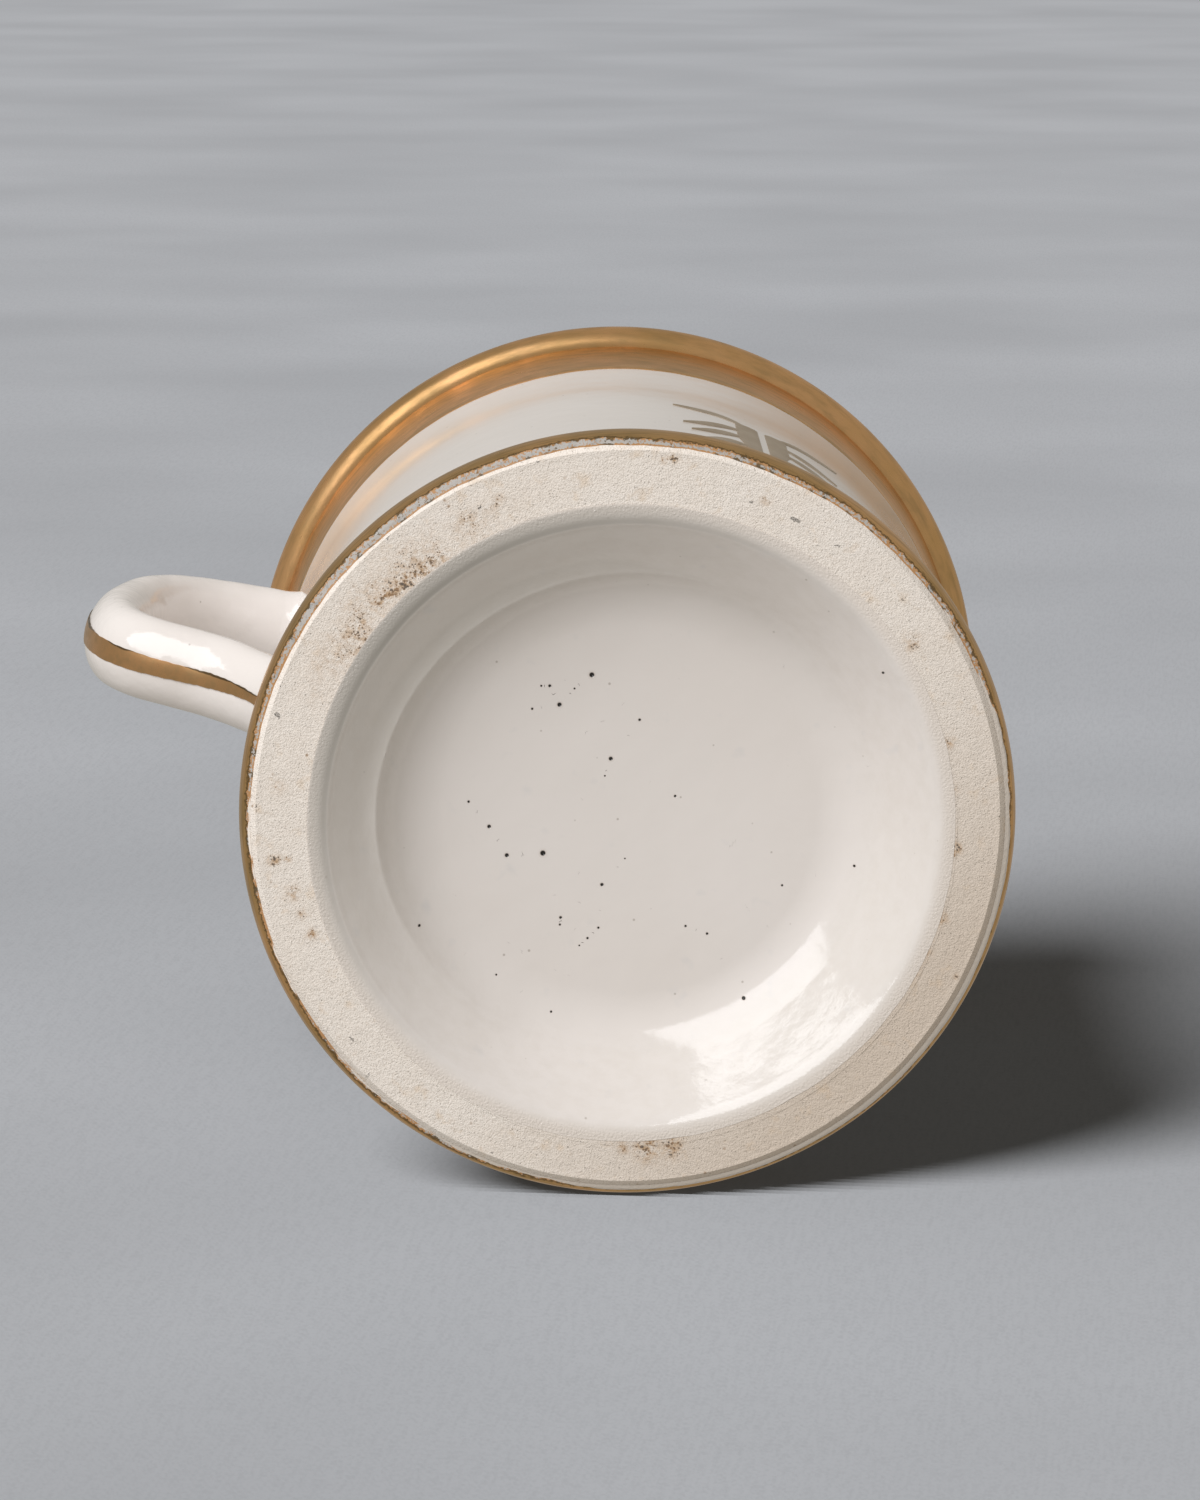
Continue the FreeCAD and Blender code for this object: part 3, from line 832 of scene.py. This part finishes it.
def handle_line(t):
    """Points on the strap's middle line, as (distance from the axis, height), and its direction."""
    t = np.clip(t, handle_knots[0], handle_knots[-1])
    i = np.clip(np.searchsorted(handle_knots, t, "right") - 1, 0, len(handle_knots) - 2)
    gap = (handle_knots[i + 1] - handle_knots[i])[:, None]
    u = (t - handle_knots[i])[:, None] / gap
    a, b, sa, sb = handle_points[i], handle_points[i + 1], handle_slopes[i], handle_slopes[i + 1]
    place = (2 * u ** 3 - 3 * u ** 2 + 1) * a + (u ** 3 - 2 * u ** 2 + u) * gap * sa \
        + (3 * u ** 2 - 2 * u ** 3) * b + (u ** 3 - u ** 2) * gap * sb
    pace = (6 * u ** 2 - 6 * u) / gap * (a - b) + (3 * u ** 2 - 4 * u + 1) * sa + (3 * u ** 2 - 2 * u) * sb
    return place, pace / np.linalg.norm(pace, axis=1)[:, None]


def strap_rings(t, turn, grow):
    """Rings of the oval strap at path places t; turn is the angle round the oval, 90 degrees outermost."""
    place, along = handle_line(t)
    share = ((t - handle_knots[0]) / (handle_knots[-1] - handle_knots[0]))[:, None]
    wide = strap_half_widths[0] * (1 - share) + strap_half_widths[1] * share + grow
    across = wide * np.cos(turn)
    out = (strap_half_depth + grow) * np.sin(turn)
    # outwards of the loop, in the plane of (distance, height)
    outward = np.stack([-along[:, 1], along[:, 0]], -1)
    radial = place[:, :1] + out * outward[:, :1]
    rise = place[:, 1:] + out * outward[:, 1:]
    return np.stack([-radial, across, rise], -1)


def tip_of(first, last):
    """Path place between two others where the strap leaves its slip collar."""
    t = np.linspace(first, last, 4000)
    reach = handle_line(t)[0][:, 0]
    return t[np.abs(reach - (wall_radius + glaze + slip_reach)).argmin()]


handle_middle = 0.5 * handle_knots[-1]
upper_tip = tip_of(handle_knots[0], handle_middle)
lower_tip = tip_of(handle_middle, handle_knots[-1])


def make_handle():
    turn = turns(strap_columns)
    t = np.linspace(handle_knots[0] + 0.6, handle_knots[-1] - 0.6, 140)
    vertices, faces = closed_tube(strap_rings(t, turn, -0.02))
    make_piece("clay_handle", vertices, faces, bisque_material(), ["handle"])
    rows = 420
    t = np.linspace(upper_tip - 1.0, lower_tip + 1.0, rows)
    outer = strap_rings(t, turn, glaze)
    lumps = (cloud(outer.reshape(-1, 3), 51, 13.0, 0.07) + cloud(outer.reshape(-1, 3), 52, 5.0, 0.02))
    centre = outer.mean(1, keepdims=True)
    outward = outer - centre
    outward /= np.linalg.norm(outward, axis=2, keepdims=True)
    calm = np.clip(np.minimum(t - upper_tip, lower_tip - t) / 3.0, 0, 1)[:, None, None]
    outer = outer + outward * lumps.reshape(rows, -1, 1) * calm
    inner = strap_rings(t[:: 3], turn, 0.0)
    loop = np.concatenate([outer, inner[::-1]])
    vertices, faces = lathe_mesh(loop, False)
    make_piece("glaze_handle", vertices, faces, porcelain("handle_glaze", 1.4).material,
               ["handle_glaze"])


def slip_swell(t, root, tip):
    """How far a slip joint stands out from the strap: nothing at its tip, most at its root."""
    share = np.clip((t - root) / (tip - root), 0, 1)
    return slip_spread * 1.25 * (1 - share) ** 2.2


def make_slip(name, node, root, tip):
    """Slip joint: flares from the strap out to the wall in a hollow curve."""
    turn = turns(strap_columns)
    t = np.linspace(root, tip, 40)
    swell = slip_swell(t, root, tip) - 0.03 * smooth((t - tip) / (0.15 * (root - tip)) + 1)
    rings = np.concatenate([strap_rings(t[i:i + 1], turn, glaze + 0.02 + swell[i]) for i in range(len(t))])
    vertices, faces = closed_tube(rings)
    make_piece(name, vertices, faces, porcelain(name + "_glaze", 1.2).material, [node])


# How much of the lower slip joint the stripe covers
stripe_over_slip = 0.68


def make_stripe():
    """Gilt line on the outer crest of the strap, painted by hand."""
    rows, columns = 560, 15
    t = np.linspace(upper_tip, lower_tip + stripe_over_slip * (handle_knots[-1] - lower_tip), rows)
    share = (t - upper_tip) / (lower_tip - upper_tip)
    half = np.interp(share, (0, 0.5, 0.7, 0.8, 0.92, 1.05), (1.0, 1.25, 1.2, 0.9, 0.85, 0.5))
    half = half * (1 + ripple(t / 9.0, 61, (1, 2, 3, 5), 0.05)) + ripple(t, 62, (2, 3, 5), 0.03)
    drift = ripple(t / 12.0, 63, (1, 2, 3), 0.12)
    # It runs on over the lower slip joint, most of the way to the wall.
    rise = slip_swell(t, handle_knots[-1], lower_tip) + 0.04 * (share > 1)
    layers = []
    for grow in (glaze + gilding * 0.8, glaze * 0.5):
        across = drift[:, None] + half[:, None] * np.linspace(-1, 1, columns)
        wide = strap_half_widths[0] * (1 - share) + strap_half_widths[1] * share + grow + rise
        turn = np.arccos(np.clip(across / wide[:, None], -1, 1))
        layers.append(np.concatenate([strap_rings(t[i:i + 1], turn[i:i + 1], grow + rise[i])
                                      for i in range(rows)]))
    top, low = layers
    loop = np.concatenate([top, low[:, ::-1]], axis=1)
    vertices, faces = closed_tube(loop)
    look = gold("stripe_gold", (0.62, 0.37, 0.17), (0.40, 0.29, 0.15), (0.82, 0.46, 0.22), turned=False)
    edge = look.minus(look.times(look.noise(160.0, 2.0), 1.3), look.mark("across"))
    dark = look.rise(look.minus(edge, 0.7), 0.78, 0.90, 0.85)
    look.set(Base_Color=look.mix(dark, look.colour, (0.10, 0.075, 0.04)))
    across = np.tile(np.r_[np.linspace(-1, 1, columns), np.linspace(1, -1, columns)], rows)
    make_piece("gilt_stripe", vertices, faces, look.material, ["gilt_handle_stripe"],
               marks={"across": np.r_[across, 0, 0]})


# Gilt ornament

ornament_azimuth = -79.6
stem_base_z = 14.0
stem_top_z = 42.0
stem_gap = 0.9
stem_width = 2.7
leaf_width = 2.4
leaf_arch = 1.4
leaf_rows = ((40.8, 5.0, 8.4), (35.2, -3.4, 7.6), (29.6, -3.2, 6.8), (23.4, -2.4, 5.4))


def pressed(strips, name, material):
    """Flat strips (rows of crossing points, as across and height) laid on the wall as a thin coat."""
    vertices, faces = [], []
    middle = math.radians(ornament_azimuth)
    for strip in strips:
        rows, columns, _ = strip.shape
        layers = []
        turned = middle + np.arcsin(strip[..., 0] / (wall_radius + glaze))
        thick = 0.02 + 0.08 * (1 - np.linspace(-1, 1, columns) ** 4)
        for radius in (wall_radius + glaze + thick, wall_radius + glaze * 0.4 + 0 * thick):
            layers.append(round_axis(radius, turned, strip[..., 1]))
        loop = np.concatenate([layers[0], layers[1][:, ::-1]], axis=1)
        part, quads = closed_tube(loop)
        faces += [tuple(len(vertices) + v for v in face) for face in quads]
        vertices += part.tolist()
    make_piece(name, vertices, faces, material, ["gilt_ornament"])


def leaf_strip(start, bend, tip, width, seed):
    """A leaf curving from start over bend to tip, widest near its middle."""
    u = np.linspace(0, 1, 40)[:, None]
    start, bend, tip = (np.array(p, float) for p in (start, bend, tip))
    control = 2 * bend - 0.5 * (start + tip)
    line = (1 - u) ** 2 * start + 2 * u * (1 - u) * control + u ** 2 * tip
    line[:, 1] += 0.5 * np.sin(2 * math.pi * u[:, 0])
    along = np.gradient(line, axis=0)
    normal = np.stack([-along[:, 1], along[:, 0]], -1) / np.linalg.norm(along, axis=1)[:, None]
    half = 0.02 + 0.5 * width * np.sin(math.pi * u) ** 0.8 * (1 + ripple(6 * u, seed, (1, 2), 0.05))
    side = np.linspace(-1, 1, 9)
    return line[:, None, :] + (half * side)[..., None] * normal[:, None, :]


def stem_strip(side):
    z = np.linspace(stem_base_z, stem_top_z, 60)
    inner = side * 0.5 * stem_gap + 0 * z
    share = np.clip((z - stem_base_z) / 16.0, 0, 1)
    outer = inner + side * (0.15 + (stem_width - 0.15) * share ** 0.8)
    across = np.linspace(0, 1, 11)
    x = inner[:, None] * (1 - across) + outer[:, None] * across
    lift = 0.8 * (across - 0.5) * np.clip((z - stem_top_z + 4) / 4, 0, 1)[:, None]
    return np.stack([x, z[:, None] + lift], -1)


def ornament_material():
    look = Look("gilt_paint")
    rub = look.noise(700.0, 4.0, 0.65)
    patch = look.noise(160.0, 2.0)
    colour = look.mix(look.rise(patch, 0.4, 0.65), (0.52, 0.43, 0.33), (0.46, 0.37, 0.27))
    colour = look.mix(look.rise(rub, 0.58, 0.72, 0.5), colour, (0.66, 0.59, 0.51))
    look.set(Base_Color=colour, Metallic=look.ramp(rub, (0.5, 0.30), (0.7, 0.15)),
             Roughness=look.ramp(rub, (0.3, 0.42), (0.7, 0.6)), Normal=look.bump(rub, 0.00003))
    return look.material


def make_ornament():
    strips = []
    for side in (-1, 1):
        strips.append(stem_strip(side))
        root = side * 0.5 * (stem_gap + stem_width)
        for row, (z, rise, reach) in enumerate(leaf_rows):
            strips.append(leaf_strip((root, z), (root + side * 0.5 * reach, z + 0.5 * rise + leaf_arch),
                                     (root + side * reach, z + rise), leaf_width, 70 + row))
    pressed(strips, "gilt_sprig", ornament_material())


make_body()
make_recess()
make_outer_glaze()
make_inner_glaze()
make_rim_band()
make_foot_band()
make_handle()
make_slip("slip_upper", "upper_slip_joint", handle_knots[0], upper_tip)
make_slip("slip_lower", "lower_slip_joint", handle_knots[-1], lower_tip)
make_stripe()
make_ornament()


# Camera: the jug lies on its side with its foot turned to the viewer

camera_place = Vector((-38.54, -118.20, -635.70)) * MM
camera_right = Vector((0.97456, -0.22380, -0.01272)).normalized()
camera_up = Vector((-0.21794, -0.95928, 0.17977)).normalized()
camera_back = camera_right.cross(camera_up)


def aimed(right, up, back, place):
    turn = Matrix((right, up, back)).transposed().to_4x4()
    return Matrix.Translation(place) @ turn


camera_data = bpy.data.cameras.new("camera")
camera_data.lens = 144.0
camera_data.clip_start = 0.02
camera_data.clip_end = 20.0
camera = linked("camera", camera_data)
camera.matrix_world = aimed(camera_right, camera_up, camera_back, camera_place)
bpy.context.scene.camera = camera


# Stage: a table that the lying jug touches, and a floor that the upright jug stands on. The table is made
# of fine ribs whose faces look towards the foot's end, so it shows only to a viewer at that end, and the
# floor shows only from above. Neither lights the jug.

handle_turn = math.radians(12.8)
photo_up = Vector((-math.sin(handle_turn), -math.cos(handle_turn), 0))
foot_touch = (foot_radius + glaze + gilding) * MM
lip_touch = (lip_radius + glaze + gilding) * MM
rib_gap = 0.0015
rib_height = 0.0005
rib_lean = math.radians(6.0)
rib_turn = math.radians(7.5)
backdrop = (0.400, 0.412, 0.432)


def stage_material(name, shade):
    """Plain matt cloth with faint clouds and threads, clear from behind."""
    look = Look(name)
    tone = look.noise(9.0, 2.0, 0.4)
    threads = look.noise(2400.0, 2.0, 0.6, look.vector("MULTIPLY", look.where, (1.0, 0.12, 1.0)))
    colour = look.mix(look.rise(tone, 0.3, 0.7), tuple(0.93 * c for c in shade),
                      tuple(1.06 * c for c in shade))
    colour = look.mix(look.rise(threads, 0.42, 0.70, 0.25), colour, tuple(0.7 * c for c in shade))
    look.set(Base_Color=colour, Roughness=0.95, Specular_IOR_Level=0.1)
    back = look.node("ShaderNodeNewGeometry").outputs["Backfacing"]
    clear = look.node("ShaderNodeBsdfTransparent").outputs[0]
    mixed = look.node("ShaderNodeMixShader", Fac=back)
    look.tree.links.new(look.shader.outputs[0], mixed.inputs[1])
    look.tree.links.new(clear, mixed.inputs[2])
    look.tree.links.new(mixed.outputs[0], look.tree.nodes["Material Output"].inputs["Surface"])
    return look.material


def stage_piece(name, vertices, faces, place, material):
    """A stage mesh that only the camera sees."""
    mesh = bpy.data.meshes.new(name)
    mesh.from_pydata(vertices, [], faces)
    mesh.materials.append(material)
    piece = linked(name, mesh)
    piece.matrix_world = place
    for ray in ("diffuse", "glossy", "transmission", "shadow", "volume_scatter"):
        setattr(piece, "visible_" + ray, False)
    piece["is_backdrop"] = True
    return piece


def ribs(first, last, half_width):
    """Quads across x, one behind the other along y, that reach down from z = 0 and face -y."""
    vertices, faces = [], []
    for row, y in enumerate(np.arange(first, last, rib_gap)):
        back = y + rib_height * math.sin(rib_lean)
        vertices += [(-half_width, y, 0), (half_width, y, 0), (half_width, back, -rib_height),
                     (-half_width, back, -rib_height)]
        faces.append((4 * row + 3, 4 * row + 2, 4 * row + 1, 4 * row))
    return vertices, faces


shade = (0.115, 0.1165, 0.120)
axis = Vector((0, 0, 1))
foot_point = -photo_up * foot_touch + axis * foot_crest * MM
lip_point = -photo_up * lip_touch + axis * (height - lip_roll) * MM
table_along = (lip_point - foot_point).normalized()
table_across = table_along.cross(photo_up).normalized()
rib_along = math.cos(rib_turn) * table_along + math.sin(rib_turn) * table_across
table = stage_piece("table", *ribs(-0.56, 3.2, 1.2),
                    aimed(rib_along.cross(photo_up), rib_along, photo_up, foot_point),
                    stage_material("table_cloth", shade))
floor = stage_piece("floor", [(-9, -9, 0), (9, -9, 0), (9, 9, 0), (-9, 9, 0)], [(0, 1, 2, 3)], Matrix(),
                    stage_material("floor_cloth", shade))


# Light

key_side = Vector((-0.645, -0.522, -0.557)).normalized()
top_side = Vector((-0.35, -0.30, 0.89)).normalized()
DAYLIGHT = (0.975, 0.985, 1.01)


def place_light(name, data, towards, distance, only, glossy=True):
    """A light in the direction given, turned to face the jug, that lights only the things listed."""
    aim = Vector((0, 0, 0.02))
    light = linked(name, data)
    light.location = aim + towards * distance
    light.rotation_mode = "QUATERNION"
    light.rotation_quaternion = (-towards).to_track_quat("-Z", "Y")
    light.visible_glossy = glossy
    light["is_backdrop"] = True
    group = bpy.data.collections.new(name + "_receivers")
    for thing in only:
        group.objects.link(thing)
    light.light_linking.receiver_collection = group


def softbox(name, towards, distance, size, power, only, glossy=True):
    data = bpy.data.lights.new(name, "AREA")
    data.size, data.energy, data.color = size, power, DAYLIGHT
    place_light(name, data, towards, distance, only, glossy)


def wide_sun(name, towards, angle, strength, only):
    data = bpy.data.lights.new(name, "SUN")
    data.angle, data.energy, data.color = math.radians(angle), strength, DAYLIGHT
    place_light(name, data, towards, 2.0, only)


gilded = [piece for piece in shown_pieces() if piece.name.startswith("gilt_")]
white = [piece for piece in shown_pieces() if piece not in gilded]
softbox("key", key_side, distance=1.2, size=1.0, power=13.9, only=white)
softbox("key_gold", key_side, distance=1.2, size=1.0, power=4.2, only=gilded)
softbox("top", top_side, distance=1.3, size=0.9, power=5.0, only=white + gilded, glossy=False)
wide_sun("table_sun", key_side, angle=32.0, strength=18.2, only=[table])
wide_sun("floor_sun", top_side, angle=34.0, strength=11.3, only=[floor])

world = bpy.data.worlds.new("studio")
world.use_nodes = True
room = world.node_tree
ambient = room.nodes["Background"]
ambient.inputs["Color"].default_value = (1.0, 0.962, 0.88, 1)
ambient.inputs["Strength"].default_value = 0.40
seen = room.nodes.new("ShaderNodeBackground")
seen.inputs["Color"].default_value = (*backdrop, 1)
choose = room.nodes.new("ShaderNodeMixShader")
room.links.new(room.nodes.new("ShaderNodeLightPath").outputs["Is Camera Ray"], choose.inputs[0])
room.links.new(ambient.outputs[0], choose.inputs[1])
room.links.new(seen.outputs[0], choose.inputs[2])
room.links.new(choose.outputs[0], room.nodes["World Output"].inputs["Surface"])
bpy.context.scene.world = world
bpy.context.scene.view_settings.view_transform = "Standard"
